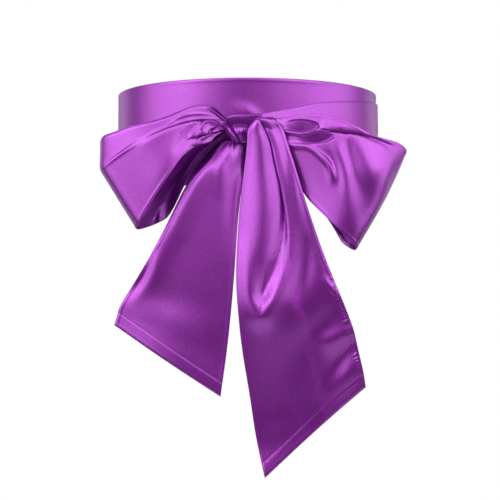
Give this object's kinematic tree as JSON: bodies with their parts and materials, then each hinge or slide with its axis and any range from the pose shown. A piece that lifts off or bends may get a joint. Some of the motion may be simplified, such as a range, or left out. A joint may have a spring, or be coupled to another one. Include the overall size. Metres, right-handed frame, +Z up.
{
  "type": "satin sash",
  "caption": "Satin waist sash, wound round the waist and tied at the front in a soft bow with loops and long slanted tails, hollow where the waist goes.",
  "frame": {"origin": "middle of the waist that the sash goes round, half way between its upper and lower edges at the front", "axes": "+Z up along the waist, +Y to the wearer's back, +X to the right as the bow is seen"},
  "size_m": [0.2565, 0.2267, 0.3575],
  "materials": {
    "satin": "satin"
  },
  "bodies": {
    "root": {"starting_end": "satin", "first_turn": "satin", "second_turn": "satin", "wrap_end": "satin", "knot_roll": "satin", "knot_knob": "satin", "knot_collar": "satin", "left_loop": "satin", "right_loop": "satin", "left_tail": "satin", "right_tail": "satin"}
  },
  "joints": []
}
